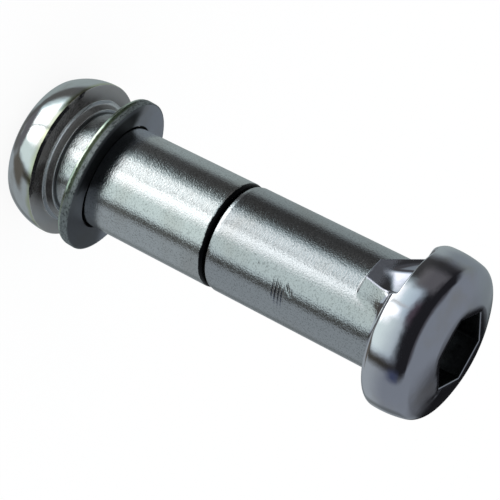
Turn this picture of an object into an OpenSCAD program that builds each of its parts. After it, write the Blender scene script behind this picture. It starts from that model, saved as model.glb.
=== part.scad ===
// Seat binder bolt: a shouldered bolt and a keyed sleeve nut that meet end to end,
// with a loose flat washer on the bolt's barrel. Millimetres, +Z along the common axis.
// The bolt's head stands on z = 0 and the nut's head is at the top.

/* [Barrels] */
// Diameter of both barrels, the part that passes through the clamp's ears
barrel_d = 8; // [7.6:0.1:9]
// Length of the bolt's barrel, from under its head to its end
bolt_barrel_l = 13.95; // [12:0.05:20]
// Length of the nut's barrel, from its end to under its head
nut_barrel_l = 14.15; // [13:0.05:20]
// Gap left between the two barrels when the stud has bottomed in the nut
split_gap = 0.25; // [0.1:0.05:0.6]
// Chamfer on the facing ends of the two barrels
end_chamfer = 0.12; // [0.05:0.01:0.3]

/* [Bolt head] */
// Largest diameter of the bolt's head
bolt_head_d = 11.92; // [11:0.02:14]
// Thickness of the bolt's head
bolt_head_h = 3.2; // [3:0.1:4.5]
// Radius of the crowned rim
bolt_rim_r = 3.4; // [2.4:0.1:4.4]
// Height of the rim's widest place above the outer face
bolt_rim_z = 2.6; // [1.8:0.05:2.8]
// Radius between the rim and the domed face
bolt_corner_r = 0.6; // [0.3:0.1:0.9]
// Radius of the edge on the barrel side
bolt_edge_r = 0.08; // [0.05:0.01:0.3]
// Diameter of the flat land around the socket, on which the bolt stands
bolt_land_d = 8; // [6.8:0.1:8.4]

/* [Neck collar] */
// Diameter of the collar where it leaves the bolt's head
collar_d = 9.6; // [9.2:0.1:10.6]
// Diameter of the collar at its top
collar_top_d = 8.5; // [8.2:0.1:9]
// Height of the collar
collar_h = 0.7; // [0.4:0.05:1]
// Height of the upright step at the collar's foot and at its top
collar_step = 0.16; // [0.05:0.01:0.18]

/* [Nut head] */
// Largest diameter of the nut's head
nut_head_d = 11.92; // [11:0.02:14]
// Thickness of the nut's head
nut_head_h = 4.15; // [3.8:0.05:6]
// Radius of the crowned rim
nut_rim_r = 6; // [4:0.1:9]
// Depth of the rim's widest place below the outer face
nut_rim_z = 2.5; // [2.2:0.05:2.8]
// Radius between the rim and the domed face
nut_corner_r = 1; // [0.5:0.1:1.3]
// Radius of the edge on the barrel side
nut_edge_r = 0.6; // [0.3:0.05:0.8]
// Diameter of the flat land around the socket
nut_land_d = 6.7; // [6.4:0.1:8]
// Radius of the fillet between the barrel and the underside of the head
nut_fillet_r = 0.8; // [0.3:0.05:0.9]

/* [Heads and sockets] */
// Radius of the shallow dome on both heads
dome_r = 13; // [10:0.5:20]
// Width across the flats of both hexagon sockets
socket_w = 5; // [4:0.1:5.2]
// Depth of both sockets' flats
socket_depth = 3; // [2:0.1:3.4]
// Bevel round each socket's mouth
socket_mouth = 0.12; // [0.05:0.01:0.2]
// Turn of the nut's socket about the axis
nut_socket_turn = -5.8; // [-30:0.1:30]

/* [Thread] */
// Nominal thread diameter
thread_d = 6; // [5:0.1:6.2]
// Clearance all round between the stud and the nut's thread
thread_gap = 0.05; // [0.02:0.01:0.1]
// Length of the bolt's threaded stud
stud_l = 11; // [8:0.1:11.4]
// Chamfer at the stud's tip and at the mouth of the nut's thread
thread_chamfer = 0.5; // [0.3:0.05:0.7]
// Length of the plain relief between the barrel and the thread
relief_l = 1; // [0.6:0.1:2]
// Depth of the relief below the thread's crests
relief_depth = 0.6; // [0.4:0.05:0.8]
// Clearance between the stud's tip and the end of the nut's thread
tip_gap = 0.05; // [0.02:0.01:0.2]

/* [Key] */
// Length of the key that keeps the nut from turning, measured from under the head
key_l = 2.7; // [2:0.1:4]
// Width of the key at its nose
key_nose_w = 1.6; // [1.2:0.1:2.4]
// Width of the key at its root
key_root_w = 4; // [2.6:0.1:4.6]
// Sideways shift of the key's nose from the key's direction
key_offset = 0.35; // [0:0.05:0.5]
// Sideways shift of the key's root from its nose
key_skew = 0.6; // [0:0.05:0.8]
// Height of the key's flat top above the barrel
key_h = 0.55; // [0.3:0.05:1]
// Slope cut at the top of the key's nose
key_nose_chamfer = 0.2; // [0.1:0.05:0.3]
// Depth below the head at which the key's top starts to rise towards the rim
key_rise = 0.7; // [0.3:0.05:1]
// Direction of the key round the axis
key_angle = 236; // [0:1:360]

/* [Washer] */
// Outside diameter of the washer
washer_d = 12; // [11:0.1:14]
// Clearance all round between the washer's hole and the barrel
washer_gap = 0.2; // [0.2:0.02:0.4]
// Thickness of the washer
washer_t = 0.8; // [0.5:0.05:1]
// Height of the washer's middle above the underside of the bolt's head
washer_lift = 2.71; // [2.5:0.05:8]
// Lean of the loose washer on the barrel
washer_lean = 9.5; // [0:0.5:9.5]
// Direction in which the washer's upper face leans
washer_lean_angle = 71; // [0:1:360]
// Rounding of the washer's edges, as left by blanking
washer_edge = 0.1; // [0.05:0.01:0.2]

/* [Hidden] */
$fn = 96;
// Straight steps in each arc of a turned section
arc_steps = 10;
// Small overlap that makes cuts break through a face
cut = 0.5;
// Included angle of a drill's point
drill_angle = 118;

barrel_r = barrel_d / 2;
stud_r = thread_d / 2 - thread_gap;
bore_r = thread_d / 2;
bolt_under_z = bolt_head_h;
bolt_end_z = bolt_under_z + bolt_barrel_l;
nut_end_z = bolt_end_z + split_gap;
nut_under_z = nut_end_z + nut_barrel_l;
nut_face_z = nut_under_z + nut_head_h;
stud_tip_z = bolt_end_z + stud_l;
bore_depth = stud_tip_z + tip_gap - nut_end_z;
washer_z = bolt_under_z + washer_lift;

// Points along a circle of radius r about c, from angle a0 to angle a1
function arc(c, r, a0, a1) =
    [for (i = [0:arc_steps]) let (a = a0 + (a1 - a0) * i / arc_steps) c + r * [cos(a), sin(a)]];

// Angle of the direction from point a to point b
function bearing(a, b) = atan2(b[1] - a[1], b[0] - a[0]);

// Point at distance d1 from c1 and d2 from c2, on the right of the way from c1 to c2
function meet(c1, d1, c2, d2) =
    let (
        way = c2 - c1,
        d = norm(way),
        along = (d1 * d1 - d2 * d2 + d * d) / (2 * d),
        off = sqrt(d1 * d1 - along * along)
    )
    c1 + along * way / d + off * [way[1], -way[0]] / d;

// Half section of a button head with its outer face on z = 0 and its underside at z = h:
// flat land, shallow dome, corner, crowned rim and underside edge
function head_section(d, h, rim_r, rim_z, corner_r, edge_r, land_d) =
    let (
        land_r = land_d / 2,
        dome_c = [0, sqrt(dome_r * dome_r - land_r * land_r)],
        rim_c = [d / 2 - rim_r, rim_z],
        corner_c = meet(rim_c, rim_r - corner_r, dome_c, dome_r - corner_r),
        edge_z = h - edge_r,
        edge_x = rim_c[0] + sqrt(pow(rim_r - edge_r, 2) - pow(edge_z - rim_z, 2)),
        edge_c = [edge_x, edge_z]
    )
    concat(
        [[0, 0]],
        arc(dome_c, dome_r, bearing(dome_c, [land_r, 0]), bearing(dome_c, corner_c)),
        arc(corner_c, corner_r, bearing(dome_c, corner_c), bearing(rim_c, corner_c)),
        arc(rim_c, rim_r, bearing(rim_c, corner_c), bearing(rim_c, edge_c)),
        arc(edge_c, edge_r, bearing(rim_c, edge_c), 90)
    );

// Points of the collar between the bolt's head and its barrel, as a hollow curve between two steps
function collar_section() =
    let (
        foot = [collar_d / 2, bolt_under_z + collar_step],
        top = [collar_top_d / 2, bolt_under_z + collar_h - collar_step]
    )
    concat(
        [[collar_d / 2, bolt_under_z]],
        [for (i = [0:arc_steps]) let (a = 90 * i / arc_steps)
            [top[0] + (foot[0] - top[0]) * (1 - sin(a)), foot[1] + (top[1] - foot[1]) * (1 - cos(a))]],
        [[barrel_r, bolt_under_z + collar_h]]
    );

// Hexagon socket sunk into the face on z = 0, with a bevelled mouth and a drilled floor
module socket() {
    flat_r = socket_w / 2;
    mouth_r = flat_r + socket_mouth + cut;
    translate([0, 0, -cut])
        cylinder(r = flat_r / cos(30), h = socket_depth + cut, $fn = 6);
    translate([0, 0, socket_depth])
        cylinder(r1 = flat_r, r2 = 0, h = flat_r / tan(drill_angle / 2));
    translate([0, 0, -cut])
        cylinder(r1 = mouth_r / cos(30), r2 = flat_r / cos(30), h = socket_mouth + cut, $fn = 6);
}

// Bolt: head, collar, barrel, relief and stud turned as one piece
module binder_bolt() {
    relief_r = stud_r - relief_depth;
    color("silver")
    difference() {
        rotate_extrude()
            polygon(concat(
                head_section(bolt_head_d, bolt_head_h, bolt_rim_r, bolt_rim_z, bolt_corner_r,
                    bolt_edge_r, bolt_land_d),
                collar_section(),
                [
                    [barrel_r, bolt_end_z - end_chamfer],
                    [barrel_r - end_chamfer, bolt_end_z],
                    [relief_r, bolt_end_z],
                    [relief_r, bolt_end_z + relief_l],
                    [stud_r, bolt_end_z + relief_l + relief_depth],
                    [stud_r, stud_tip_z - thread_chamfer],
                    [stud_r - thread_chamfer, stud_tip_z],
                    [0, stud_tip_z]
                ]
            ));
        socket();
    }
}

// Flat washer, loose on the bolt's barrel and leaning on it
module washer() {
    inner_r = barrel_r + washer_gap;
    outer_r = washer_d / 2;
    color("gainsboro")
    translate([0, 0, washer_z])
        rotate([0, washer_lean, washer_lean_angle])
            rotate_extrude()
                polygon([
                    [inner_r + washer_edge, -washer_t / 2],
                    [outer_r - washer_edge, -washer_t / 2],
                    [outer_r, washer_edge - washer_t / 2],
                    [outer_r, washer_t / 2 - washer_edge],
                    [outer_r - washer_edge, washer_t / 2],
                    [inner_r + washer_edge, washer_t / 2],
                    [inner_r, washer_t / 2 - washer_edge],
                    [inner_r, washer_edge - washer_t / 2]
                ]);
}

// Key under the nut's head: a tapered plan cut through a long section with a sloped nose,
// and through a cone that lifts the key's top to the rim of the head
module key() {
    core_r = barrel_r - 1;
    top_r = barrel_r + key_h;
    rise_r = nut_head_d / 2 - key_nose_chamfer;
    nose_z = nut_under_z - key_l;
    root_z = nut_under_z + nut_edge_r;
    root_y = key_offset - key_skew;
    rotate([0, 0, key_angle])
    intersection() {
        translate([core_r, 0, 0])
            rotate([90, 0, 90])
                linear_extrude(height = top_r)
                    polygon([
                        [key_offset - key_nose_w / 2, nose_z],
                        [key_offset + key_nose_w / 2, nose_z],
                        [root_y + key_root_w / 2, nut_under_z],
                        [root_y + key_root_w / 2, root_z],
                        [root_y - key_root_w / 2, root_z],
                        [root_y - key_root_w / 2, nut_under_z]
                    ]);
        union() {
            translate([0, key_root_w, 0])
                rotate([90, 0, 0])
                    linear_extrude(height = 2 * key_root_w)
                        polygon([
                            [core_r, nose_z],
                            [top_r - key_nose_chamfer, nose_z],
                            [top_r, nose_z + key_nose_chamfer],
                            [top_r, root_z],
                            [core_r, root_z]
                        ]);
            translate([0, 0, nut_under_z - key_rise])
                cylinder(r1 = top_r, r2 = rise_r, h = key_rise + nut_edge_r);
        }
    }
}

// Sleeve nut: barrel and head turned as one piece, with the key, the blind thread and the socket
module sleeve_nut() {
    head = head_section(nut_head_d, nut_head_h, nut_rim_r, nut_rim_z, nut_corner_r, nut_edge_r, nut_land_d);
    color("silver")
    difference() {
        union() {
            translate([0, 0, nut_face_z])
                mirror([0, 0, 1])
                    rotate_extrude()
                        polygon(concat(
                            head,
                            arc([barrel_r + nut_fillet_r, nut_head_h + nut_fillet_r], nut_fillet_r, 270, 180),
                            [
                                [barrel_r, nut_face_z - nut_end_z - end_chamfer],
                                [barrel_r - end_chamfer, nut_face_z - nut_end_z],
                                [0, nut_face_z - nut_end_z]
                            ]
                        ));
            key();
        }
        translate([0, 0, nut_end_z - cut])
            cylinder(r = bore_r, h = bore_depth + cut);
        translate([0, 0, nut_end_z + bore_depth])
            cylinder(r1 = bore_r, r2 = 0, h = bore_r / tan(drill_angle / 2));
        translate([0, 0, nut_end_z - cut])
            cylinder(r1 = bore_r + thread_chamfer + cut, r2 = bore_r, h = thread_chamfer + cut);
        translate([0, 0, nut_face_z])
            mirror([0, 0, 1])
                rotate([0, 0, nut_socket_turn])
                    socket();
    }
}

binder_bolt();
washer();
sleeve_nut();
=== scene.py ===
"""Seat binder bolt: the turned, plated surfaces of the bolt, its loose washer and its keyed sleeve nut."""

import math

import bpy
import numpy as np
from mathutils import Euler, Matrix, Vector


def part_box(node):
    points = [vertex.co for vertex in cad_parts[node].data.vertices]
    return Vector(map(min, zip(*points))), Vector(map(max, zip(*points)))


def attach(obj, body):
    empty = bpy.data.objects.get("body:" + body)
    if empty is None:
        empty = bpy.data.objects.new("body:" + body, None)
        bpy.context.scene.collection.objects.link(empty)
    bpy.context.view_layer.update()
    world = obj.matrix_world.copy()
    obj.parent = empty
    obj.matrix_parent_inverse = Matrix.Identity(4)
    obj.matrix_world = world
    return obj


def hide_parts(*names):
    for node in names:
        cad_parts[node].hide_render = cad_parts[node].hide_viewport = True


bl_info = {
    "name": "Seat Binder Bolt",
    "version": (1, 0, 0),
    "blender": (4, 5, 0),
    "location": "View3D > Sidebar > Binder Bolt",
    "description": "Makes a shouldered binder bolt, its loose washer and its keyed sleeve nut",
    "category": "Add Mesh",
}

MM = 0.001
DOME_STEPS, CORNER_STEPS, RIM_STEPS, EDGE_STEPS = 14, 16, 28, 12
MOUTH_RINGS = 8
TIP_SHARE = 0.1

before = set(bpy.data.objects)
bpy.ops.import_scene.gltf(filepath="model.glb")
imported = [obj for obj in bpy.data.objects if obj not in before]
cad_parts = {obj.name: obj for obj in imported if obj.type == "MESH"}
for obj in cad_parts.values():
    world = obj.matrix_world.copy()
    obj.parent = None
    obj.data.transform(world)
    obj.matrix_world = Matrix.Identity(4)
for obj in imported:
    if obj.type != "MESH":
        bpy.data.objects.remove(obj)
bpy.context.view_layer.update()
nut_low, nut_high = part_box("sleeve_nut")


def length(name, description, millimetres):
    """A length that a user may change: given in millimetres, kept in metres."""
    return bpy.props.FloatProperty(
        name=name, description=description, default=millimetres * MM,
        precision=5, unit="LENGTH", subtype="DISTANCE"
    )


def angle(name, description, degrees):
    """An angle that a user may change: given in degrees, kept in radians."""
    return bpy.props.FloatProperty(
        name=name, description=description, default=math.radians(degrees), unit="ROTATION", subtype="ANGLE"
    )


def colour(name, description, rgb):
    """A linear colour that a user may change."""
    return bpy.props.FloatVectorProperty(
        name=name, description=description, default=rgb, size=3, min=0, max=1, subtype="COLOR"
    )


class BarrelSizes(bpy.types.PropertyGroup):
    """Sizes that the bolt and the nut share"""

    diameter: length("Barrel diameter", "Diameter of both barrels", 8)
    end_chamfer: length("End chamfer", "Chamfer on the facing ends of the barrels", 0.12)
    break_l: length("Break length", "Length of the gentle break behind each chamfer", 0.26)
    break_h: length("Break depth", "Depth of the gentle break at the chamfer", 0.06)
    dome_r: length("Dome radius", "Radius of the shallow dome on both heads", 13)
    socket_w: length("Socket width", "Width across the flats of both hexagon sockets", 5)
    socket_depth: length("Socket depth", "Depth of both sockets' flats", 3)
    socket_mouth: length("Socket mouth", "Rounded bevel round each socket's mouth", 0.08)
    drill_angle: angle("Drill angle", "Included angle of the drilled floors", 118)
    softness: length("Edge softness", "Radius that plating and handling leave on every small edge", 0.04)


class BoltSizes(bpy.types.PropertyGroup):
    """Sizes of the bolt's head and neck"""

    head_d: length("Head diameter", "Largest diameter of the head", 11.92)
    head_h: length("Head height", "Thickness of the head", 3.2)
    rim_r: length("Rim radius", "Radius of the crowned rim", 4.4)
    rim_z: length("Rim height", "Height of the rim's widest place above the face", 2.92)
    corner_r: length("Corner radius", "Radius between the rim and the dome", 0.6)
    edge_r: length("Underside edge", "Radius of the edge on the barrel side", 0.08)
    land_d: length("Land diameter", "Flat land on which the bolt stands", 8)
    collar_d: length("Collar diameter", "Collar where it leaves the head", 9.6)
    collar_top_d: length("Collar top", "Diameter of the collar at its top", 8.5)
    collar_h: length("Collar height", "Height of the collar", 0.7)
    collar_step: length("Collar step", "Upright step at the collar's foot and top", 0.2)
    barrel_l: length("Barrel length", "From under the head to the barrel's end", 13.95)


class NutSizes(bpy.types.PropertyGroup):
    """Sizes of the nut's head and key"""

    head_d: length("Head diameter", "Largest diameter of the head", 11.92)
    head_h: length("Head height", "Thickness of the head", 4.15)
    rim_r: length("Rim radius", "Radius of the crowned rim", 7.5)
    rim_z: length("Rim depth", "Depth of the rim's widest place below the face", 3.1)
    corner_r: length("Corner radius", "Radius between the rim and the dome", 1)
    edge_r: length("Underside edge", "Radius of the edge on the barrel side", 0.6)
    land_d: length("Land diameter", "Flat land around the socket", 6.7)
    fillet_r: length("Fillet", "Fillet between the barrel and the head", 0.8)
    socket_turn: angle("Socket turn", "Turn of the socket about the axis", -5.8)
    key_l: length("Key length", "Length of the key from under the head", 2.7)
    key_nose_w: length("Key nose width", "Width of the key at its nose", 1.6)
    key_root_w: length("Key root width", "Width of the key at its root", 4)
    key_offset: length("Key offset", "Sideways shift of the key's nose from the key's direction", 0.35)
    key_skew: length("Key skew", "Sideways shift of the key's root from its nose", 0.6)
    key_h: length("Key height", "Height of the key's flat top above the barrel", 0.55)
    key_angle: angle("Key direction", "Direction of the key round the axis", 236)
    key_edge: length("Key edge", "Roundness of the key's edges and foot", 0.07)
    near_slope: angle("Near slope", "Slope of the key's near flank at its nose", 50)
    near_spread: angle("Near spread", "How much more the near flank slopes at its root", 5)
    climb_l: length("Climb length", "Length of the facets that climb from the key's top to the head", 1.5)
    near_turn: angle("Near facet", "Turn of one facet from the key's direction", 15)
    far_turn: angle("Far facet", "Turn of the other facet from the key's direction", 10)


class WasherSizes(bpy.types.PropertyGroup):
    """Sizes and place of the loose washer"""

    diameter: length("Diameter", "Outside diameter", 12)
    gap: length("Bore clearance", "Clearance all round on the barrel", 0.14)
    thickness: length("Thickness", "Thickness of the sheet", 0.8)
    edge: length("Edge", "Rounding left by blanking", 0.06)
    roll: length("Roll-over", "Height of the outer edge's slope where the punch went in", 0.2)
    height: length("Height", "Height of the washer's middle above the face of the bolt's head", 5.91)
    lean: angle("Lean", "Lean of the loose washer", 9.5)
    lean_angle: angle("Lean direction", "Direction in which the upper face leans", 71)


class ThreadSizes(bpy.types.PropertyGroup):
    """Sizes of the stud and its metric thread"""

    diameter: length("Diameter", "Nominal thread diameter", 6)
    pitch: length("Pitch", "Travel of one turn", 1)
    gap: length("Clearance", "Radial clearance between the stud and the nut's thread", 0.05)
    depth: length("Depth", "Radial depth of the stud's thread", 0.57)
    stud_l: length("Stud length", "Length of the stud", 11)
    relief_l: length("Relief length", "Plain neck between the barrel and the thread", 1)
    chamfer: length("Chamfer", "Chamfer at the stud's tip and the bore's mouth", 0.5)
    tip_gap: length("Tip gap", "Clearance between the stud's tip and the end of the bore", 0.05)
    stud_crest: length("Stud crest", "Width of the stud's thread at its crest", 0.12)
    stud_root: length("Stud root", "Width of the stud's thread at its root", 0.78)
    nut_depth: length("Nut depth", "Radial depth of the nut's thread", 0.4845)
    nut_crest: length("Nut crest", "Width of the nut's thread at its crest", 0.2)
    nut_root: length("Nut root", "Width of the nut's thread at its root", 0.76)


class FinishColours(bpy.types.PropertyGroup):
    """Colours of the plated steel"""

    bolt_plate: colour("Bolt barrel", "Bright plating on the bolt's barrel", (0.83, 0.86, 0.86))
    nut_plate: colour("Nut barrel", "Duller plating on the nut's barrel", (0.66, 0.685, 0.70))
    bolt_head: colour("Bolt head", "Polished plating on the bolt's head", (0.85, 0.88, 0.88))
    nut_head: colour("Nut head", "Duller polished plating on the nut's head", (0.557, 0.563, 0.64))
    washer: colour("Washer", "Plating on the washer's faces", (0.76, 0.79, 0.86))
    burnish: colour("Burnish", "Edge of the washer that the punch has rubbed", (0.60, 0.70, 0.58))
    torn: colour("Torn edge", "Rough part of the washer's blanked edge", (0.50, 0.54, 0.54))
    oxide: colour("Oxide", "Olive streak on the torn edge", (0.17, 0.21, 0.13))
    # The brown film also paints the shade under the bolt's head.
    neck: colour("Neck", "Brown film under the bolt's head", (0.032, 0.030, 0.029))
    worn: colour("Worn edge", "Edge of the nut's head that is rubbed bright", (0.92, 0.93, 0.97))
    # A painted yellow fringe of the highlight at the edge of the bolt's head.
    highlight_fringe: colour("Stain", "Yellow film along the edge of the bolt's head", (0.62, 0.66, 0.36))
    tarnish: colour("Tarnish", "Brown film where hands and weather have been", (0.50, 0.45, 0.38))
    # This near-black is dried oil and also painted shade: in the gap between the barrels, deep in the sockets
    # and bores, in the washer's bore and on its front, and along the edge of the bolt's head.
    grime_and_shade: colour("Grime", "Dried oil in the gap, the sockets and the thread", (0.012, 0.012, 0.013))


class StageSettings(bpy.types.PropertyGroup):
    """Camera and surround"""

    aim: bpy.props.FloatVectorProperty(
        name="Aim", description="Point the camera looks at", default=(0.00036, 0, 0.01862),
        subtype="TRANSLATION"
    )
    distance: length("Distance", "From the camera to the aim", 136.39)
    elevation: angle("Elevation", "Height of the camera above the horizon", 25.73)
    roll: angle("Roll", "Turn of the camera about its own view", 116.9)
    lens: bpy.props.FloatProperty(name="Lens", description="Focal length", default=140.4, unit="CAMERA")
    floor: colour("Floor", "Pale floor", (0.93, 0.93, 0.93))
    floor_r: length("Floor radius", "Radius of the round floor", 3000)
    glow: bpy.props.FloatProperty(
        name="Floor glow", description="Share of plain white in what the camera sees of the floor",
        default=0.9, min=0, max=1, subtype="FACTOR"
    )
    overhead: bpy.props.FloatProperty(
        name="Overhead light", description="Strength of the wide soft light from above", default=2.75, min=0
    )
    overhead_spread: angle("Overhead spread", "Angle that the soft light from above covers", 150)


# Profiles: points are (radius, height) pairs, in metres


def arc(centre, radius, start, end, steps):
    """Points on a circle about centre, at equal angles from start to end, in radians."""
    a = np.linspace(start, end, steps + 1)
    return np.stack([centre[0] + radius * np.cos(a), centre[1] + radius * np.sin(a)], 1)


def bearing(a, b):
    """Angle of the direction from point a to point b."""
    return math.atan2(b[1] - a[1], b[0] - a[0])


def meet(c1, d1, c2, d2):
    """Point at distance d1 from c1 and d2 from c2, on the right of the way from c1 to c2."""
    way = np.subtract(c2, c1)
    d = np.linalg.norm(way)
    along = (d1 * d1 - d2 * d2 + d * d) / (2 * d)
    off = math.sqrt(d1 * d1 - along * along)
    return c1 + along * way / d + off * np.array([way[1], -way[0]]) / d


def head_profile(size, dome_r):
    """Button head with its face at height 0 and its underside at head_h: an arc of the dome, an arc of the
    corner that touches both its neighbours, an arc of the crowned rim and an arc of the underside edge."""
    land_r = size.land_d / 2
    dome_c = np.array([0, math.sqrt(dome_r**2 - land_r**2)])
    rim_c = np.array([size.head_d / 2 - size.rim_r, size.rim_z])
    corner_c = meet(rim_c, size.rim_r - size.corner_r, dome_c, dome_r - size.corner_r)
    edge_z = size.head_h - size.edge_r
    edge_out = math.sqrt((size.rim_r - size.edge_r) ** 2 - (edge_z - size.rim_z) ** 2)
    edge_c = np.array([rim_c[0] + edge_out, edge_z])
    dome_end = bearing(dome_c, corner_c)
    rim_start, rim_end = bearing(rim_c, corner_c), bearing(rim_c, edge_c)
    return np.concatenate([
        arc(dome_c, dome_r, bearing(dome_c, [land_r, 0]), dome_end, DOME_STEPS),
        arc(corner_c, size.corner_r, dome_end, rim_start, CORNER_STEPS)[1:],
        arc(rim_c, size.rim_r, rim_start, rim_end, RIM_STEPS)[1:],
        arc(edge_c, size.edge_r, rim_end, math.pi / 2, EDGE_STEPS)[1:],
    ])


def soften(points, radius, steps=5):
    """A polyline with every sharp corner replaced by a short arc of the given radius, and a point on each
    straight just beside the arc, so that smooth shading stays on the arc. Gentle corners stay as they are."""
    before, here, after = points[:-2], points[1:-1], points[2:]
    into, out = here - before, after - here
    into_l, out_l = np.linalg.norm(into, axis=1), np.linalg.norm(out, axis=1)
    into, out = into / into_l[:, None], out / out_l[:, None]
    turn = np.arctan2(into[:, 0] * out[:, 1] - into[:, 1] * out[:, 0], (into * out).sum(1))
    reach = np.minimum(radius * np.tan(np.abs(turn) / 2), 0.35 * np.minimum(into_l, out_l))
    reach = np.where(np.abs(turn) > math.radians(14), reach, 0)
    share = np.linspace(0, 1, steps + 1)[None, :, None]
    start, end = here - reach[:, None] * into, here + reach[:, None] * out
    curve = (1 - share) ** 2 * start[:, None] + share**2 * end[:, None]
    curve = curve + 2 * share * (1 - share) * here[:, None]
    beside = 0.3 * reach[:, None]
    rounded = np.concatenate(
        [(start - beside * into)[:, None], curve, (end + beside * out)[:, None]], 1)
    path = np.concatenate([points[:1], rounded.reshape(-1, 2), points[-1:]])
    apart = np.linalg.norm(np.diff(path, axis=0), axis=1) > 1e-7
    return path[np.concatenate([[True], apart])]


# Surfaces: rings[row, column] holds (radius, height), and columns are angles round the axis


def turned(points, columns):
    """Every profile point becomes a ring of equal radius and height."""
    return np.repeat(points[:, None, :], len(columns), axis=1)


def hexagon(columns, width, turn):
    """Distance from the axis to a hexagon's side, half the width over the cosine of the angle from the
    middle of that side."""
    side = math.pi / 3
    return width / 2 / np.cos((columns - turn) % side - side / 2)


def socket_rings(shared, columns, turn):
    """Hexagon socket from its floor to its mouth, opening at height 0 and sunk towards positive heights:
    a drilled cone, the flats, and a quarter round that widens the hexagon in proportion at its mouth."""
    half = shared.socket_w / 2
    wall = hexagon(columns, shared.socket_w, turn)
    drop = half / math.tan(shared.drill_angle / 2)
    cone = np.linspace(0.08, 0.97, 6)
    floor = turned(np.stack([half * cone, shared.socket_depth + drop * (1 - cone)], 1), columns)
    share = np.array([1, 0.98, 0.6, 0.2])[:, None]
    depth = shared.socket_mouth + share * (shared.socket_depth - shared.socket_mouth)
    flats = np.stack(np.broadcast_arrays(wall, depth), -1)
    bend = np.linspace(0, math.pi / 2, MOUTH_RINGS)[:, None]
    widen = 1 + shared.socket_mouth * (1 - np.cos(bend)) / half
    mouth = np.stack(np.broadcast_arrays(wall * widen, shared.socket_mouth * (1 - np.sin(bend))), -1)
    return np.concatenate([floor, flats, mouth])


def socket_tip(shared):
    """Depth of the point at which a socket's drilled floor ends."""
    return shared.socket_depth + shared.socket_w / 2 / math.tan(shared.drill_angle / 2)


def skin(name, rings, columns, poles, finish):
    """A closed mesh over a grid of rings: quads between neighbouring rings, each ring joined to itself, and
    a fan to a point on the axis at each end. poles gives the two points' heights, or None where the last
    ring joins the first. finish gives the quads' material numbers, by row and column."""
    rows, count = rings.shape[:2]
    radius, height = rings[..., 0], rings[..., 1]
    points = np.stack([radius * np.cos(columns), radius * np.sin(columns), height], -1).reshape(-1, 3)
    return grid_mesh(name, points, rows, count, poles, finish)


def grid_mesh(name, points, rows, count, poles, finish):
    """Puts a grid of points, row by row, into a new object: numbers of corners come from the row and the
    column, with the column after the last being the first."""
    around = np.arange(count)
    beside = (around + 1) % count
    last = rows if poles is None else rows - 1
    low = np.arange(last)[:, None] * count
    high = (np.arange(last)[:, None] + 1) % rows * count
    quads = np.stack([low + around, low + beside, high + beside, high + around], -1).reshape(-1, 4)
    number = np.broadcast_to(finish, (last, count)).ravel()
    loops, sizes = quads.ravel(), np.full(len(quads), 4)
    if poles is not None:
        points = np.concatenate([points, [[0, 0, poles[0]], [0, 0, poles[1]]]])
        first, end = rows * count, rows * count + 1
        top = (rows - 1) * count
        fan = np.concatenate([
            np.stack([np.full(count, first), beside, around], -1),
            np.stack([top + around, top + beside, np.full(count, end)], -1),
        ])
        loops = np.concatenate([loops, fan.ravel()])
        sizes = np.concatenate([sizes, np.full(len(fan), 3)])
        number = np.concatenate([number, np.repeat([number[0], number[-1]], count)])
    mesh = bpy.data.meshes.new(name)
    mesh.vertices.add(len(points))
    mesh.vertices.foreach_set("co", points.astype(np.float32).ravel())
    mesh.loops.add(len(loops))
    mesh.loops.foreach_set("vertex_index", loops.astype(np.int32))
    mesh.polygons.add(len(sizes))
    starts = np.concatenate([[0], np.cumsum(sizes)[:-1]])
    mesh.polygons.foreach_set("loop_start", starts.astype(np.int32))
    mesh.polygons.foreach_set("material_index", number.astype(np.int32))
    mesh.polygons.foreach_set("use_smooth", np.ones(len(sizes), bool))
    mesh.update(calc_edges=True)
    if mesh.validate():
        raise RuntimeError(f"{name} has faces that don't close")
    made = bpy.data.objects.new(name, mesh)
    bpy.context.scene.collection.objects.link(made)
    return made


def helix(name, radius, root, crest_w, root_w, pitch, low, high):
    """One ridge of a right-hand thread: a four-cornered section, wide at the root and narrow at the crest,
    carried along a helix that climbs one pitch a turn, and thinned to nothing over half a turn
    at each end."""
    per_turn = 72
    turns = (high - low) / pitch
    count = int(turns * per_turn) + 1
    a = np.linspace(0, 2 * math.pi * turns, count)[:, None]
    fade = np.clip(np.minimum(a, a[-1] - a) / math.pi, 0.02, 1)
    sunk = root + (root - radius) * 0.1
    section_r = np.array([sunk, radius, radius, sunk])
    section_z = np.array([-root_w, -crest_w, crest_w, root_w]) / 2
    order = np.arange(4) if radius > root else np.arange(4)[::-1]
    r = sunk + (section_r[order] - sunk) * fade
    z = low + a * pitch / (2 * math.pi) + section_z[order] * fade
    points = np.stack([r * np.cos(a), r * np.sin(a), z], -1)
    return ribbon(name, points)


def ribbon(name, points):
    """A closed tube over points[step, corner], with a flat face at each end."""
    steps, corners = points.shape[:2]
    around = np.arange(corners)
    beside = (around + 1) % corners
    low = np.arange(steps - 1)[:, None] * corners
    quads = np.stack([low + around, low + corners + around, low + corners + beside, low + beside], -1)
    ends = [around.tolist(), ((steps - 1) * corners + around[::-1]).tolist()]
    mesh = bpy.data.meshes.new(name)
    mesh.from_pydata(points.reshape(-1, 3).tolist(), [], quads.reshape(-1, 4).tolist() + ends)
    mesh.update()
    made = bpy.data.objects.new(name, mesh)
    bpy.context.scene.collection.objects.link(made)
    return made


def dress(piece, body, node, materials):
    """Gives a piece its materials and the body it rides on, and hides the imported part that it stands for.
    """
    for material in materials:
        piece.data.materials.append(material)
    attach(piece, body)
    if node:
        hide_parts(node)


# Shader values


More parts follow.
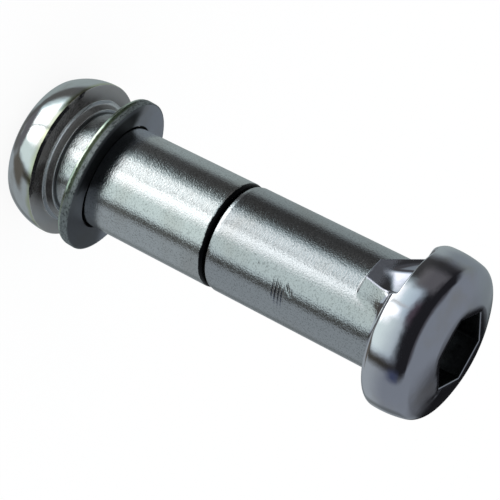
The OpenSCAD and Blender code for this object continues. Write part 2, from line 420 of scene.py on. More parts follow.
class Value:
    """A socket in a shader tree. Arithmetic on values adds Math nodes, and node() adds any other node."""

    def __init__(self, tree, socket=None):
        self.tree = tree
        self.socket = socket

    def node(self, kind, settings=None, inputs=None, output=0):
        """Adds a node of that type: settings first, then each socket's value or link."""
        made = self.tree.nodes.new(kind)
        for name, value in (settings or {}).items():
            setattr(made, name, value)
        for name, value in (inputs or {}).items():
            if isinstance(value, Value):
                self.tree.links.new(value.socket, made.inputs[name])
            else:
                made.inputs[name].default_value = value
        return Value(self.tree, made.outputs[output] if made.outputs else None)

    def math(self, operation, *terms):
        """One Math node on these terms."""
        return self.node("ShaderNodeMath", {"operation": operation}, dict(enumerate(terms)))

    def __add__(self, other):
        return self.math("ADD", self, other)

    def __radd__(self, other):
        return self.math("ADD", other, self)

    def __sub__(self, other):
        return self.math("SUBTRACT", self, other)

    def __rsub__(self, other):
        return self.math("SUBTRACT", other, self)

    def __mul__(self, other):
        return self.math("MULTIPLY", self, other)

    def __rmul__(self, other):
        return self.math("MULTIPLY", other, self)

    def __truediv__(self, other):
        return self.math("DIVIDE", self, other)

    def __abs__(self):
        return self.math("ABSOLUTE", self)

    def most(self, other):
        """The larger of two values."""
        return self.math("MAXIMUM", self, other)

    def root(self):
        """The square root."""
        return self.math("SQRT", self)

    def smooth(self, low, high, start=0.0, end=1.0):
        """A smooth step from start at low to end at high."""
        return self.node(
            "ShaderNodeMapRange", {"interpolation_type": "SMOOTHSTEP"},
            {"Value": self, "From Min": low, "From Max": high, "To Min": start, "To Max": end},
        )

    def part(self, axis):
        """One coordinate of a vector."""
        return self.node("ShaderNodeSeparateXYZ", None, {0: self}, "XYZ".index(axis))

    def along(self, way):
        """How far a vector reaches along a way: their dot product."""
        return self.node("ShaderNodeVectorMath", {"operation": "DOT_PRODUCT"}, {0: self, 1: way}, 1)

    def stretch(self, x, y, z):
        """A vector with each coordinate multiplied by its own factor."""
        return self.node("ShaderNodeVectorMath", {"operation": "MULTIPLY"}, {0: self, 1: (x, y, z)})

    def noise(self, detail=2.0, roughness=0.5):
        """Soft noise of about one feature a unit, read at this vector."""
        return self.node("ShaderNodeTexNoise", None,
                         {"Vector": self, "Scale": 1.0, "Detail": detail, "Roughness": roughness})

    def tint(self, first, second):
        """A colour that goes from first to second as this value goes from 0 to 1."""
        ends = {0: self, 6: rgba(first), 7: rgba(second)}
        return self.node("ShaderNodeMix", {"data_type": "RGBA"}, ends, 2)

    def bump(self, depth, normal=None):
        """A normal tilted by this height field, whose range of 1 stands for that depth in metres."""
        inputs = {"Height": self, "Distance": depth, "Strength": 1.0}
        if normal:
            inputs["Normal"] = normal
        return self.node("ShaderNodeBump", None, inputs)


def rgba(value):
    """A colour with full opacity, or a value as it is."""
    return value if isinstance(value, Value) else (*value, 1.0)


def begin(name):
    """An empty material and a vector of its Object coordinates in millimetres."""
    material = bpy.data.materials.new(name)
    material.use_nodes = True
    material.node_tree.nodes.clear()
    start = Value(material.node_tree)
    place = start.node("ShaderNodeTexCoord", None, None, "Object").stretch(1 / MM, 1 / MM, 1 / MM)
    return material, place


def complete(material, place, settings, **inputs):
    """A Principled surface from these sockets."""
    surface = place.node("ShaderNodeBsdfPrincipled", None, {**settings, **inputs})
    place.node("ShaderNodeOutputMaterial", {"is_active_output": True}, {"Surface": surface})
    return material


def from_axis(place):
    """Distance from the bolt's axis, in millimetres."""
    square = place.part("X") * place.part("X") + place.part("Y") * place.part("Y")
    return square.root()


METAL = {"Metallic": 1.0, "IOR": 2.5}


def satin_plate(colours, name, plate, end, dark_reach, foot):
    """Barrels: thin plating over a turned and tumbled surface. Fine pits make the reflections sparkle, dark
    flecks dot the plating, a faint grain runs round the barrel, and a coarser unevenness makes the
    reflections' edges wander. A near-black band with ragged edges lies on the barrel from the height end,
    as far as the next argument in millimetres: oil, and painted shade of the gap between the barrels.
    Painted shade also darkens the corner just above the height foot."""
    material, place = begin(name)
    pits = place.stretch(8, 8, 9.5).noise(2, 0.55)
    fleck = place.stretch(8, 8, 9).noise(2, 0.6)
    grain = place.stretch(1.8, 1.8, 10).noise(2, 0.5)
    uneven = place.stretch(0.9, 0.9, 1.6).noise(3, 0.55)
    film = place.stretch(0.22, 0.22, 0.35).noise(2, 0.5)
    from_end = abs(place.part("Z") - end / MM) + (uneven - 0.5) * 0.25 + (pits - 0.5) * 0.1
    corner = place.part("Z") - foot / MM + (uneven - 0.5) * 0.2
    # Painted shade: a near-black band with ragged edges, partly oil, from the barrel's end for the gap
    # between the barrels, and a second one in the corner just above the foot.
    oil_and_shade = from_end.smooth(dark_reach + 0.04, dark_reach - 0.04) + corner.smooth(0.3, 0.1, 0, 0.85)
    tone = film.smooth(0.45, 0.75, 0, 0.25).tint(plate, colours.tarnish)
    flecks_and_shade = oil_and_shade.most(fleck.smooth(0.54, 0.26, 0, 0.42))
    base = flecks_and_shade.tint(tone, colours.grime_and_shade)
    rough = 0.11 + (pits - 0.5) * 0.1 + (film - 0.5) * 0.06 + oil_and_shade * 0.3
    normal = uneven.bump(0.011 * MM)
    normal = grain.bump(0.004 * MM, normal)
    normal = pits.bump(0.014 * MM, normal)
    return complete(material, place, METAL, **{"Base Color": base, "Roughness": rough, "Normal": normal})


def polished_plate(colours, name, bright, neck_height, worn):
    """Heads: bright plating on a tumbled surface, a little wavy, with a faint film and pin pricks. A dark
    brown film lies in the neck, from the neck height upwards, and also paints the shade under the head; it
    is thin at both sides and on two rubbed edges. Along its border run a painted yellow fringe of the rim's
    highlight and a broken painted dark stripe, the shadow at the head's edge on the camera's side. The rim
    below the height worn is rubbed bright, and far below it, on the key's flat top, the plating is duller."""
    material, place = begin(name)
    wave = place.stretch(0.7, 0.7, 0.7).noise(2, 0.5)
    fine = place.stretch(6, 6, 6).noise(2, 0.5)
    film = place.stretch(0.3, 0.3, 0.5).noise(3, 0.5)
    out, across = from_axis(place), place.part("X")
    rub = place.part("Z") - worn / MM + (wave - 0.5) * 0.5
    metal = (rub.smooth(0.7, -0.9) * out.smooth(5.0, 5.3)).tint(bright, colours.worn)
    tone = film.smooth(0.5, 0.75, 0, 0.4).tint(metal, colours.tarnish)
    height = place.part("Z") - neck_height / MM
    rubbed = abs(height - 0.22).smooth(0.06, 0.02) + abs(height - 0.69).smooth(0.06, 0.02)
    thin = across.smooth(-3.5, -5.5, 1, 0.6) * across.smooth(3.4, 5.2, 1, 0.4)
    # Dark brown film in the neck that also paints the shade under the head; it is thin on the collar's two
    # edges, whose highlights show.
    dirt_and_shade = height.smooth(-0.03, 0.0) * (1 - rubbed * 0.9) * film.smooth(0.35, 0.65, 1, 0.85) * thin
    # Painted yellow fringe of the highlight on the rim, just below the edge of the head.
    highlight_fringe = (height + (wave - 0.5) * 0.5).smooth(-0.5, 0.0, 0, 0.7) * height.smooth(0.0, -0.03)
    tone = highlight_fringe.tint(tone, colours.highlight_fringe)
    # Painted shadow: a broken dark stripe along the underside edge of the head, on the camera's side only.
    border = abs(height) + out.smooth(5.6, 5.5) + place.part("Y").smooth(-4.2, -2.2)
    edge_shadow = (border + (wave - 0.5) * 0.3 + (fine - 0.5) * 0.1).smooth(0.06, 0.0)
    base = edge_shadow.tint(dirt_and_shade.tint(tone, colours.neck), colours.grime_and_shade)
    rough = 0.08 + (fine - 0.5) * 0.05 + film.smooth(0.4, 0.8) * 0.05 + dirt_and_shade * 0.2
    rough = rough + rub.smooth(-2.2, -3.0, 0, 0.22)
    normal = wave.bump(0.02 * MM)
    normal = fine.bump(0.0012 * MM, normal)
    return complete(material, place, {"IOR": 1.22}, **{
        "Base Color": base, "Metallic": 1 - dirt_and_shade * 0.8, "Roughness": rough, "Normal": normal})


def washer_plate(colours, name, size, lean):
    """Washer: plating over blanked sheet, in the washer's own leaned directions. The outer edge is burnished
    where the punch went in and torn above that, with an olive streak on its front. The faces have fine
    random scuffs. The upper one is black on its front, oil together with painted shade from the barrel
    beside it, and smeared at one side, and the bore is painted dark for the shade in its narrow gap."""
    material, place = begin(name)
    scuff = place.stretch(9, 2.5, 6).noise(3, 0.6)
    cross = place.stretch(2, 10, 6).noise(3, 0.6)
    film = place.stretch(0.4, 0.4, 0.4).noise(3, 0.5)
    torn = place.stretch(4, 4, 8).noise(3, 0.65)
    middle = (0, 0, size.height / MM)
    centred = place.node("ShaderNodeVectorMath", {"operation": "SUBTRACT"}, {0: place, 1: middle})
    above = centred.along(lean.col[2])
    reach = centred.node("ShaderNodeVectorMath", {"operation": "LENGTH"}, {0: centred}, 1)
    out = (reach * reach - above * above).root()
    on_edge = out.smooth(5.88, 5.94)
    shiny = on_edge * above.smooth(-0.17, -0.23)
    rough_edge = on_edge * (above + (torn - 0.5) * 0.1).smooth(-0.24, -0.18)
    # Painted shade: the bore is darkened for the shade in its narrow gap on the barrel.
    bore = out.smooth(4.22, 4.16)
    front = centred.along((-0.31, -0.95, 0)) / out + (film - 0.5) * 0.3
    aside = centred.along((0.87, -0.5, 0)) / out + (film - 0.5) * 0.4
    on_face = out.smooth(5.95, 5.88) * above.smooth(0.2, 0.3)
    # Oil and painted shade: the upper face is blackened on its front, beside the barrel.
    oiled_and_shaded = front.smooth(0.58, 0.78) * out.smooth(5.75, 5.3, 0.72, 0.95)
    smeared = aside.smooth(0.2, 0.6, 0, 0.62)
    tone = film.smooth(0.4, 0.75, 0, 0.3).tint(colours.washer, colours.tarnish)
    streak = front.smooth(0.6, 0.85) * (above + (torn - 0.5) * 0.2).smooth(0.12, -0.04)
    edge = streak.tint(colours.torn, colours.oxide)
    dark = bore.most(on_face * oiled_and_shaded.most(smeared)).most(rough_edge * torn.smooth(0.45, 0.65, 0, 0.6))
    base = dark.tint(rough_edge.tint(shiny.tint(tone, colours.burnish), edge), colours.grime_and_shade)
    rough = 0.54 + (scuff - 0.5) * 0.12 + (film - 0.5) * 0.1 + rough_edge * 0.08 + bore * 0.2 - shiny * 0.42
    normal = (scuff + cross).bump(0.002 * MM)
    normal = (torn * rough_edge).bump(0.03 * MM, normal)
    return complete(material, place, METAL, **{"Base Color": base, "Roughness": rough, "Normal": normal})


def dull_steel(colours, name):
    """Sockets, bore, thread, stud and the barrels' facing ends: unpolished steel, nearly black under a film
    of dark oil that also paints the shade deep in the sockets and bore and in the gap between the barrels.
    """
    material, place = begin(name)
    film = place.stretch(1.2, 1.2, 1.2).noise(3, 0.55)
    drag = place.stretch(4, 4, 1.5).noise(2, 0.5)
    # Mostly near-black: oil, and painted shade in the sockets, the bore and the gap between the barrels.
    base = film.smooth(0.2, 0.9, 0.65, 0.96).tint(colours.bolt_plate, colours.grime_and_shade)
    rough = 0.32 + (film - 0.5) * 0.25
    normal = drag.bump(0.01 * MM)
    return complete(material, place, METAL, **{"Base Color": base, "Roughness": rough, "Normal": normal})


# Pieces


class MakeBolt(bpy.types.Operator):
    """Make the bolt: socket, button head, stepped collar, barrel and stud as one turned surface"""

    bl_idname = "binder.make_bolt"
    bl_label = "Bolt"

    def execute(self, context):
        scene = context.scene
        shared, size, thread = scene.barrel_sizes, scene.bolt_sizes, scene.thread_sizes
        colours = context.scene.finish_colours
        columns = np.radians(np.arange(0, 360, 1.5))
        under, barrel_r = size.head_h, shared.diameter / 2
        barrel_end = under + size.barrel_l
        stud_r = thread.diameter / 2 - thread.gap
        core_r = stud_r - thread.depth
        tip = barrel_end + thread.stud_l
        bend = np.linspace(0, math.pi / 2, 11)
        top_r, foot_r = size.collar_top_d / 2, size.collar_d / 2
        foot_z, top_z = under + size.collar_step, under + size.collar_h - size.collar_step
        hollow = np.stack([top_r + (foot_r - top_r) * (1 - np.sin(bend)),
                           foot_z + (top_z - foot_z) * (1 - np.cos(bend))], 1)
        outside = soften(np.concatenate([
            [[shared.socket_w / 2 / math.cos(math.pi / 6) + 1.5 * shared.socket_mouth, 0]],
            head_profile(size, shared.dome_r),
            [[foot_r, under]],
            hollow,
            [
                [top_r, under + size.collar_h],
                [barrel_r, under + size.collar_h],
                [barrel_r, barrel_end - 1.2 * shared.break_l - shared.break_h],
                [barrel_r, barrel_end - shared.break_l - shared.break_h],
                [barrel_r - shared.break_h, barrel_end - shared.break_h],
                [barrel_r - shared.end_chamfer, barrel_end],
                [core_r, barrel_end],
                [core_r, tip - thread.chamfer / 2],
                [core_r - thread.chamfer / 2, tip],
                [core_r / 10, tip],
            ],
        ]), shared.softness)
        rings = np.concatenate([socket_rings(shared, columns, 0), turned(outside, columns)])
        middle = (rings[:-1] + rings[1:]).mean(1) / 2
        on_barrel = (middle[:, 1] > under + size.collar_h) & (middle[:, 1] <= barrel_end - 1e-6)
        # The barrel's end face takes the dark steel too, painting the shade of the gap between the barrels.
        dull = (middle[:, 1] > barrel_end - 1e-6) | (np.arange(len(middle)) < len(rings) - len(outside) - 9)
        finish = np.where(dull, 2, np.where(on_barrel, 1, 0))[:, None]
        floor_tip = socket_tip(shared)
        bolt = skin("bolt_body", rings, columns, (floor_tip, tip), finish)
        dress(bolt, "bolt", "binder_bolt", [
            polished_plate(colours, "bolt_polish", colours.bolt_head, size.head_h - 0.01 * MM, 0),
            satin_plate(colours, "bolt_satin", colours.bolt_plate, barrel_end, 0.27, under + size.collar_h),
            dull_steel(colours, "bolt_dull"),
        ])
        return {"FINISHED"}


class MakeWasher(bpy.types.Operator):
    """Make the loose washer: a rounded section carried round a tilted circle"""

    bl_idname = "binder.make_washer"
    bl_label = "Washer"

    def execute(self, context):
        shared, size = context.scene.barrel_sizes, context.scene.washer_sizes
        inner, outer, half = shared.diameter / 2 + size.gap, size.diameter / 2, size.thickness / 2
        corners = np.array([
            [inner, 0], [inner, -half], [outer - 0.25 * size.roll, -half], [outer, size.roll - half],
            [outer, half], [inner, half], [inner, 0]])
        profile = soften(corners, size.edge, 6)[:-1]
        a = np.radians(np.arange(0, 360, 1.5))
        flat = np.stack(np.broadcast_arrays(
            profile[:, :1] * np.cos(a), profile[:, :1] * np.sin(a), profile[:, 1:] + 0 * a), -1)
        lean = Euler((0, size.lean, size.lean_angle)).to_matrix()
        points = flat.reshape(-1, 3) @ np.array(lean).T + np.array([0, 0, size.height])
        washer = grid_mesh("washer_ring", points, len(profile), len(a), None, 0)
        dress(washer, "washer", "washer",
              [washer_plate(context.scene.finish_colours, "washer_plate", size, lean)])
        return {"FINISHED"}


def smooth_min(a, b, reach):
    """The smaller of two fields, with their crossing rounded over the given reach."""
    h = np.clip(0.5 + 0.5 * (b - a) / reach, 0, 1)
    return b + (a - b) * h - reach * h * (1 - h)


# Form of the key: rise of its nose and of its facets for each length, turn of the ridge in radians for each
# metre climbed, and the turn in radians beyond which the near flank drops, with its drop
NOSE_RISE, FACET_RISE, RIDGE_DRIFT = 2.2, 0.25, 0.28 / MM
FLANK_BEND, FLANK_DROP = 0.4, 1.4 * MM
# Roundness of the far flank, the ridge and the flat top, as multiples of the key's edge
FAR_ROUND, RIDGE_ROUND, TOP_ROUND = 6, 1.5, 2
# Widest turn from the key's direction at which its planes are worked out, in radians
WIDEST = 1.2
# Reach of the head's rise beyond the far flank, and the widths over which it fades at both flanks
FAR_REACH, FAR_FADE, NEAR_FADE = 0.9 * MM, 1.0 * MM, 0.4 * MM
# Slope of the cone that carries the key into the rim, and the roundness where they meet
CONE_SLOPE, CONE_ROUND = 3, 0.08 * MM


def key_sides(size, under, columns, z):
    """Angle of each column from the key's direction, and by height the key's share of its length, its half
    width and the sideways place of its middle."""
    side = (columns - size.key_angle + math.pi) % (2 * math.pi) - math.pi
    share = np.clip((z - (under - size.key_l)) / size.key_l, 0, 1)
    half = (size.key_nose_w + (size.key_root_w - size.key_nose_w) * share) / 2
    return np.clip(side, -WIDEST, WIDEST)[None, :], share, half, size.key_offset - size.key_skew * share


def key_field(size, barrel_r, under, columns, z):
    """Distance from the axis to the barrel with its key. Each face is a plane: its own distance over the
    cosine of the angle from its normal. They are a flat top, an upright far flank, a near flank that slopes
    and bends down to the barrel, and two facets that climb to the head and meet in a ridge. The nose rises
    in proportion to height, and smooth minima join the faces to each other and to the barrel."""
    edge = size.key_edge
    side, share, half, middle = key_sides(size, under, columns, z)
    top_r = barrel_r + size.key_h
    slope = size.near_slope + size.near_spread * share
    near_flank = (top_r * np.cos(slope) + (half + middle) * np.sin(slope)) / np.cos(side - slope)
    near_flank = near_flank - FLANK_DROP * np.maximum(side - FLANK_BEND, 0) ** 2
    far_flank = (half - middle) / np.maximum(np.abs(np.sin(side)), 1e-3)
    climb = FACET_RISE * (z - under + size.climb_l)
    ridge = side + RIDGE_DRIFT * np.maximum(climb, 0)
    near_angle = np.clip(ridge - size.near_turn, -WIDEST, WIDEST)
    far_angle = np.clip(ridge + size.far_turn, -WIDEST, WIDEST)
    near = (top_r * math.cos(size.near_turn) + climb) / np.cos(near_angle)
    far = (top_r * math.cos(size.far_turn) + climb) / np.cos(far_angle)
    facets = smooth_min(near, far, RIDGE_ROUND * edge)
    top = -smooth_min(-top_r / np.cos(side), -facets, TOP_ROUND * edge)
    nose = barrel_r + (z - (under - size.key_l)) * NOSE_RISE
    roll = np.where(side < 0, FAR_ROUND, 1 + 4 * np.clip(2 * share - 1, 0, 1) ** 2) * edge
    blunt = (1 + 12 * np.clip(side - 0.2, 0, 0.5)) * edge
    key = smooth_min(smooth_min(top, np.where(side < 0, far_flank, near_flank), roll), nose, blunt)
    foot = np.where(side < 0, 1, 1 + 3 * share) * edge
    return -smooth_min(-key, np.full_like(key, -barrel_r), foot)


def key_share(size, barrel_r, under, columns):
    """How far a column lies on the key at its root: 0 beyond either flank, 1 well inside."""
    side, _, half, middle = key_sides(size, under, columns, under)
    y = (barrel_r + size.key_h) * np.tan(side[0]) - middle
    far = np.clip((y + half + FAR_REACH) / FAR_FADE, 0, 1)
    near = np.clip((half - y) / NEAR_FADE, 0, 1)
    return (far * near) ** 2 * (3 - 2 * far * near)


def rise(head, count, size, barrel_r, under, columns, start_z):
    """The first rings of the nut's head, drawn by each column's share towards the key's own surface, which
    is carried on upwards until it meets a steep cone that ends in the rim."""
    t = np.linspace(0, 1, count + 1)[1:, None]
    end = head[count - 1]
    z = start_z + t * (end[:, 1] - start_z)
    cone = end[:, 0] - CONE_SLOPE * (end[:, 1] - z)
    r = -smooth_min(-key_field(size, barrel_r, under, columns, z), -cone, CONE_ROUND)
    share = key_share(size, barrel_r, under, columns)[None, :, None]
    head[:count] += (np.stack([r, z], -1) - head[:count]) * share
    return head


# Marks on the nut's barrel: height above the bolt's face and turn of the middle, half width along the axis,
# half length round the barrel, depth, and how far the mark leans along its length
DINGS = (
    # millimetres, degrees, millimetres, degrees, millimetres, millimetres
    (21.55, 282, 0.05, 3.0, 0.028, 0.20),
    (22.75, 287, 0.06, 2.5, 0.012, 0.00),
    (23.10, 300, 0.06, 13.0, 0.036, 0.05),
    (23.38, 303, 0.07, 15.0, 0.052, 0.04),
    (23.66, 305, 0.065, 16.0, 0.052, 0.06),
    (23.92, 307, 0.07, 16.0, 0.042, 0.05),
    (24.25, 293, 0.09, 6.0, 0.042, 0.22),
    (24.55, 296, 0.06, 4.0, 0.018, 0.10),
    (24.95, 286, 0.07, 2.5, 0.015, 0.05),
)


def dents(columns, z):
    """Depth of the marks on the nut's barrel: each is a groove, bell-shaped across and along."""
    depth = np.zeros((len(z), len(columns)))
    for middle, turn, half_w, half_l, deep, slant in DINGS:
        along = ((columns - math.radians(turn) + math.pi) % (2 * math.pi) - math.pi) / math.radians(half_l)
        across = (z[:, None] / MM - middle - slant * along[None, :]) / half_w
        depth += deep * MM * np.exp(-(across**2) - along[None, :] ** 2)
    return depth


# Shifts of the land round the nut's socket: direction and width in degrees, reach in millimetres
LAND_SHIFTS = (
    (262, 26, 0.3),
    (328, 24, -0.5),
    (203, 16, -0.25),
)
LEAST_LAND = 0.05 * MM


def uneven_land(rings, columns, mouth):
    """The dome's rings drawn inwards or outwards by a sum of bells round the axis, with the cube of their
    nearness to the socket, so that the land round the socket is wider on one side than on the other."""
    middle, width, reach = np.array(LAND_SHIFTS).T[..., None]
    bells = np.exp(-(((np.degrees(columns) % 360 - middle) / width) ** 2))
    shift = np.maximum(MM * (reach * bells).sum(0), mouth + LEAST_LAND - rings[-1, :, 0])
    rings[..., 0] += np.linspace(0, 1, len(rings))[:, None] ** 3 * shift
    return rings


# Heights on the nut's barrel between which its marks lie
MARKS_LOW, MARKS_HIGH = 21.3 * MM, 25.2 * MM


def nut_bore(shared, thread, end, bore_end):
    """Profile from near the bore's drilled tip, down the bore and over the end onto the barrel."""
    barrel_r, bore_r = shared.diameter / 2, thread.diameter / 2
    return soften(np.array([
        [bore_r * TIP_SHARE, bore_end + bore_r * (1 - TIP_SHARE) / math.tan(shared.drill_angle / 2)],
        [bore_r, bore_end],
        [bore_r, end + thread.chamfer],
        [bore_r + thread.chamfer, end],
        [barrel_r - shared.end_chamfer, end],
        [barrel_r - shared.break_h, end + shared.break_h],
        [barrel_r, end + shared.break_h + shared.break_l],
        [barrel_r, end + shared.break_h + 1.2 * shared.break_l],
    ]), shared.softness)


def nut_barrel(shared, size, columns, end, under):
    """Rings of the barrel with its key and its marks, close together where the marks and the key are."""
    key_end = under - size.key_l
    heights = np.concatenate([
        np.linspace(end + 0.5 * MM, MARKS_LOW - 0.1 * MM, 4),
        np.linspace(MARKS_LOW, MARKS_HIGH, 96),
        np.linspace(MARKS_HIGH + 0.2 * MM, key_end - 0.3 * MM, 4),
        np.linspace(key_end - 0.2 * MM, under - size.fillet_r - 0.3 * MM, 44),
    ])
    radius = key_field(size, shared.diameter / 2, under, columns, heights[:, None])
    return np.stack(np.broadcast_arrays(radius - dents(columns, heights), heights[:, None]), -1)


def nut_head(shared, size, columns, start_z, face):
    """Rings of the head from the barrel to the land: a quarter-round fillet, then the head's profile, both
    drawn towards the key on its side."""
    barrel_r, under = shared.diameter / 2, face - size.head_h
    profile = head_profile(size, shared.dome_r)[::-1] * [1, -1] + [0, face]
    root = key_field(size, barrel_r, under, columns, np.array([[under]]))[0]
    sweep = np.minimum(size.fillet_r, profile[0, 0] - 0.05 * MM - root)
    bend = np.linspace(0, math.pi / 2, 14)[1:, None]
    fillet = np.stack([root + sweep * (1 - np.cos(bend)), under - sweep * (1 - np.sin(bend))], -1)
    rings = np.concatenate([fillet, turned(profile, columns)])
    return rise(rings, len(fillet) + EDGE_STEPS + 2, size, barrel_r, under, columns, start_z)


class MakeNut(bpy.types.Operator):
    """Make the sleeve nut: bore, barrel with its key, button head and socket as one surface"""

    bl_idname = "binder.make_nut"
    bl_label = "Sleeve nut"

    def execute(self, context):
        scene = context.scene
        shared, size, thread = scene.barrel_sizes, scene.nut_sizes, scene.thread_sizes
        bolt, colours = scene.bolt_sizes, scene.finish_colours
        barrel_r, bore_r = shared.diameter / 2, thread.diameter / 2
        end, face = nut_low.z, nut_high.z
        under = face - size.head_h
        fine, coarse = np.linspace(0, 150, 230, endpoint=False), np.linspace(150, 360, 84, endpoint=False)
        columns = size.socket_turn + math.pi + np.radians(np.concatenate([fine, coarse]))
        bore_end = bolt.head_h + bolt.barrel_l + thread.stud_l + thread.tip_gap
        bore = nut_bore(shared, thread, end, bore_end)
        barrel = nut_barrel(shared, size, columns, end, under)
        head = nut_head(shared, size, columns, barrel[-1, 0, 1], face)
        socket = socket_rings(shared, columns, size.socket_turn)[::-1] * [1, -1] + [0, face]
        dome = -DOME_STEPS - 1
        head[dome:] = uneven_land(head[dome:], columns, socket[0, :, 0])
        rings = np.concatenate([turned(bore, columns), barrel, head, socket])
        row = np.arange(len(rings) - 1)[:, None]
        radius, height = rings[:-1, :, 0], rings[:-1, :, 1]
        # The nut's end face and bore take the dark steel, painting the shade of the gap between the barrels.
        inside = (row < len(bore)) & (radius < barrel_r - shared.end_chamfer)
        inside = inside | (row >= len(rings) - len(socket) + MOUTH_RINGS // 2)
        side, _, half, middle = key_sides(size, under, columns, height)
        on_key = (radius > barrel_r + 0.08 * MM) & (radius * np.sin(side) < half + middle + 0.03 * MM)
        finish = np.where(inside, 2, np.where((row < len(bore) + len(barrel)) & ~on_key, 1, 0))
        bore_tip = bore_end + bore_r / math.tan(shared.drill_angle / 2)
        nut = skin("nut_body", rings, columns, (bore_tip, face - socket_tip(shared)), finish)
        dress(nut, "nut", "sleeve_nut", [
            polished_plate(colours, "nut_polish", colours.nut_head, 2 * face, under + 1.4 * MM),
            satin_plate(colours, "nut_satin", colours.nut_plate, end, 0, 0),
            dull_steel(colours, "nut_dull"),
        ])
        return {"FINISHED"}


class MakeThreads(bpy.types.Operator):
    """Make the stud's thread and the nut's thread, which mesh half a pitch apart"""

    bl_idname = "binder.make_threads"
    bl_label = "Threads"

    def execute(self, context):
        thread, size = context.scene.thread_sizes, context.scene.bolt_sizes
        colours = context.scene.finish_colours
        barrel_end = size.head_h + size.barrel_l
        tip = barrel_end + thread.stud_l
        crest = thread.diameter / 2 - thread.gap
        start = barrel_end + thread.relief_l + thread.pitch / 2
        stud = helix("stud_thread", crest, crest - thread.depth, thread.stud_crest, thread.stud_root,
                     thread.pitch, start, tip - thread.pitch / 2)
        dress(stud, "bolt", None, [dull_steel(colours, "stud_thread_steel")])
        turns_down = math.floor((start - nut_low.z - thread.pitch) / thread.pitch)
        low = start + thread.pitch / 2 - turns_down * thread.pitch
        inner = helix("nut_thread", thread.diameter / 2 - thread.nut_depth, thread.diameter / 2,
                      thread.nut_crest, thread.nut_root, thread.pitch, low, tip - thread.pitch)
        dress(inner, "nut", None, [dull_steel(colours, "nut_thread_steel")])
        return {"FINISHED"}


# Surround: name, middle azimuth and half width, middle elevation and half height, softness of the sides
# and of the ends, all in degrees, then the brightness and its tint
SURROUND = (
    ("side wall", 125, 34, -25, 50, 20, 20, 0.32, (0.91, 1.04, 1.06)),
    ("floor below", 0, 180, -90, 16, 0.1, 8, 0.13, (1.0, 1.0, 1.0)),
    ("sky window", 257, 61, -44, 40, 20, 10, 0.72, (0.87, 1.04, 1.09)),
    ("right pane", 292, 25, -44, 40, 16, 10, 0.71, (0.91, 1.04, 1.03)),
    ("window middle", 252, 28, -46, 24, 12, 8, 1.1, (0.97, 1.0, 1.01)),
    ("window light", 263, 7, -42, 26, 10, 8, 1.5, (0.97, 1.0, 1.01)),
    ("window core", 245, 35, -50.5, 14.5, 18, 7, 2.0, (0.98, 1.0, 1.0)),
    ("window bar", 251, 2.0, -45, 35, 3, 10, 0.62, (0.95, 1.0, 1.0)),
    ("window sill", 255, 75, -77, 9, 20, 6, 0.13, (1.0, 0.97, 1.06)),
    ("low curtain", 176, 16, -58, 26, 14, 10, 0.1, (1.0, 1.0, 1.0)),
    ("left curtain", 189, 29, -12, 22, 26, 10, 0.045, (1.0, 1.0, 1.0)),
    ("right flag", 332, 7, -34, 34, 12, 10, 0.05, (1.0, 0.95, 0.8)),
    ("low flag", 346, 24, -58, 14, 18, 10, 0.1, (1.06, 0.98, 0.86)),
    ("upper shade", 256, 80, 30, 28, 30, 24, 0.09, (1.0, 1.0, 1.08)),
    ("dark room", 256, 90, 19, 23, 26, 11, 0.02, (1.0, 1.0, 1.1)),
    ("shelf", 204, 18, -8, 10, 18, 9, 0.15, (1.03, 1.0, 1.0)),
    ("low beam", 256, 16, -4, 3, 20, 8, 0.07, (1.25, 0.8, 1.0)),
    ("far board", 343, 8, -3, 5, 14, 10, 0.09, (0.75, 0.92, 1.6)),
    ("bench end", 58, 8, -25, 22, 12, 16, 0.18, (0.92, 1.02, 1.06)),
    ("corner shade", 80, 16, 22, 20, 32, 28, 0.12, (0.95, 1.0, 1.05)),
    ("dark corner", 85, 10, 4, 20, 8, 8, 0.012, (1.0, 1.0, 1.1)),
)
SURROUND_LEVEL = 0.32
SURROUND_TINT = (0.91, 1.0, 1.07)


def surround():
    """World light by direction: an even grey room with a bright window and darker things round it, laid over
    each other in the table's order. Each is a box in azimuth and elevation with soft edges."""
    world = bpy.data.worlds.new("studio")
    bpy.context.scene.world = world
    world.use_nodes = True
    world.node_tree.nodes.clear()
    way = Value(world.node_tree).node("ShaderNodeTexCoord", None, None, "Generated")
    degrees = 180 / math.pi
    azimuth = way.part("Y").math("ARCTAN2", way.part("Y"), way.part("X")) * degrees
    elevation = way.part("Z").math("ARCSINE", way.part("Z")) * degrees
    light = tuple(SURROUND_LEVEL * c for c in SURROUND_TINT)
    for _, middle, half, height, half_h, soft, soft_h, level, tint in SURROUND:
        turn = azimuth - middle
        aside, above = abs(turn.math("WRAP", turn, 180.0, -180.0)), abs(elevation - height)
        within = aside.smooth(half - soft / 2, half + soft / 2, 1, 0)
        within = within * above.smooth(half_h - soft_h / 2, half_h + soft_h / 2, 1, 0)
        light = within.tint(light, tuple(level * c for c in tint))
    background = way.node("ShaderNodeBackground", None, {"Color": light, "Strength": 1.0})
    way.node("ShaderNodeOutputWorld", {"is_active_output": True}, {"Surface": background})


def disc(name, radius):
    """A flat round face at height 0: one polygon with its corners at equal angles on a circle."""
    a = np.radians(np.arange(0, 360, 5.0))
    points = radius * np.stack([np.cos(a), np.sin(a), 0 * a], -1)
    mesh = bpy.data.meshes.new(name)
    mesh.from_pydata(points.tolist(), [], [np.arange(len(a)).tolist()])
    made = bpy.data.objects.new(name, mesh)
    bpy.context.scene.collection.objects.link(made)
    return made


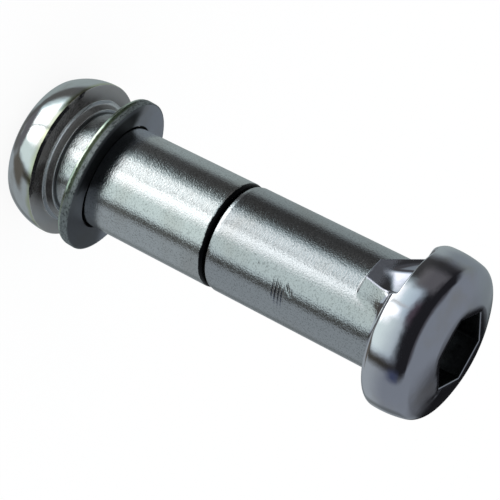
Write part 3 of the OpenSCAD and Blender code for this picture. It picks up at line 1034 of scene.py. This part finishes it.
class MakeStage(bpy.types.Operator):
    """Set the camera, the pale floor, the soft overhead light and the studio surround"""

    bl_idname = "binder.make_stage"
    bl_label = "Stage"

    def execute(self, context):
        stage = context.scene.stage_settings
        camera = bpy.data.objects.new("camera", bpy.data.cameras.new("camera"))
        camera.data.lens = stage.lens
        camera.data.clip_start = 0.01
        back = Vector((0, -math.cos(stage.elevation), math.sin(stage.elevation)))
        camera.location = Vector(stage.aim) + back * stage.distance
        turn = (-back).to_track_quat("-Z", "Y").to_matrix() @ Euler((0, 0, stage.roll)).to_matrix()
        camera.rotation_euler = turn.to_euler()
        context.scene.collection.objects.link(camera)
        context.scene.camera = camera
        context.scene.view_settings.view_transform = "Standard"
        surround()
        floor = disc("floor", stage.floor_r)
        material, place = begin("pale_floor")
        speckle = place.stretch(0.4, 0.4, 0.4).noise(2, 0.5)
        shade = speckle.smooth(0.3, 0.7, 0.0, 1.0).tint(stage.floor, tuple(0.99 * c for c in stage.floor))
        matt = place.node("ShaderNodeBsdfPrincipled", None,
                          {"Base Color": shade, "Roughness": 1.0, "Specular IOR Level": 0.0})
        glow = place.node("ShaderNodeEmission", None, {"Color": (1, 1, 1, 1), "Strength": 1.0})
        seen = sum(place.node("ShaderNodeLightPath", None, None, ray)
                   for ray in ("Is Camera Ray", "Is Glossy Ray", "Is Transmission Ray"))
        both = place.node("ShaderNodeMixShader", None, {0: seen * stage.glow, 1: matt, 2: glow})
        place.node("ShaderNodeOutputMaterial", {"is_active_output": True}, {"Surface": both})
        floor.data.materials.append(material)
        floor.visible_glossy = False
        sun = bpy.data.objects.new("overhead", bpy.data.lights.new("overhead", "SUN"))
        sun.data.energy = stage.overhead
        sun.data.angle = stage.overhead_spread
        sun.visible_glossy = False
        context.scene.collection.objects.link(sun)
        return {"FINISHED"}


class BinderPanel(bpy.types.Panel):
    """Lists the pieces of the binder bolt"""

    bl_idname = "VIEW3D_PT_binder_bolt"
    bl_label = "Binder Bolt"
    bl_space_type = "VIEW_3D"
    bl_region_type = "UI"
    bl_category = "Binder Bolt"

    def draw(self, context):
        for maker in MAKERS:
            self.layout.operator(maker.bl_idname)
        for name in GROUPS:
            group = getattr(context.scene, name)
            for field in group.bl_rna.properties.keys():
                if field not in ("rna_type", "name"):
                    self.layout.prop(group, field)


GROUPS = {
    "barrel_sizes": BarrelSizes,
    "bolt_sizes": BoltSizes,
    "nut_sizes": NutSizes,
    "washer_sizes": WasherSizes,
    "thread_sizes": ThreadSizes,
    "finish_colours": FinishColours,
    "stage_settings": StageSettings,
}
MAKERS = (MakeStage, MakeBolt, MakeWasher, MakeNut, MakeThreads)


def register():
    for name, group in GROUPS.items():
        bpy.utils.register_class(group)
        setattr(bpy.types.Scene, name, bpy.props.PointerProperty(type=group))
    for maker in (*MAKERS, BinderPanel):
        bpy.utils.register_class(maker)


def unregister():
    for maker in (BinderPanel, *reversed(MAKERS)):
        bpy.utils.unregister_class(maker)
    for name, group in reversed(GROUPS.items()):
        delattr(bpy.types.Scene, name)
        bpy.utils.unregister_class(group)


def main():
    """Registers the add-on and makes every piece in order."""
    register()
    bpy.ops.binder.make_stage()
    bpy.ops.binder.make_bolt()
    bpy.ops.binder.make_washer()
    bpy.ops.binder.make_nut()
    bpy.ops.binder.make_threads()


if __name__ == "__main__":
    main()
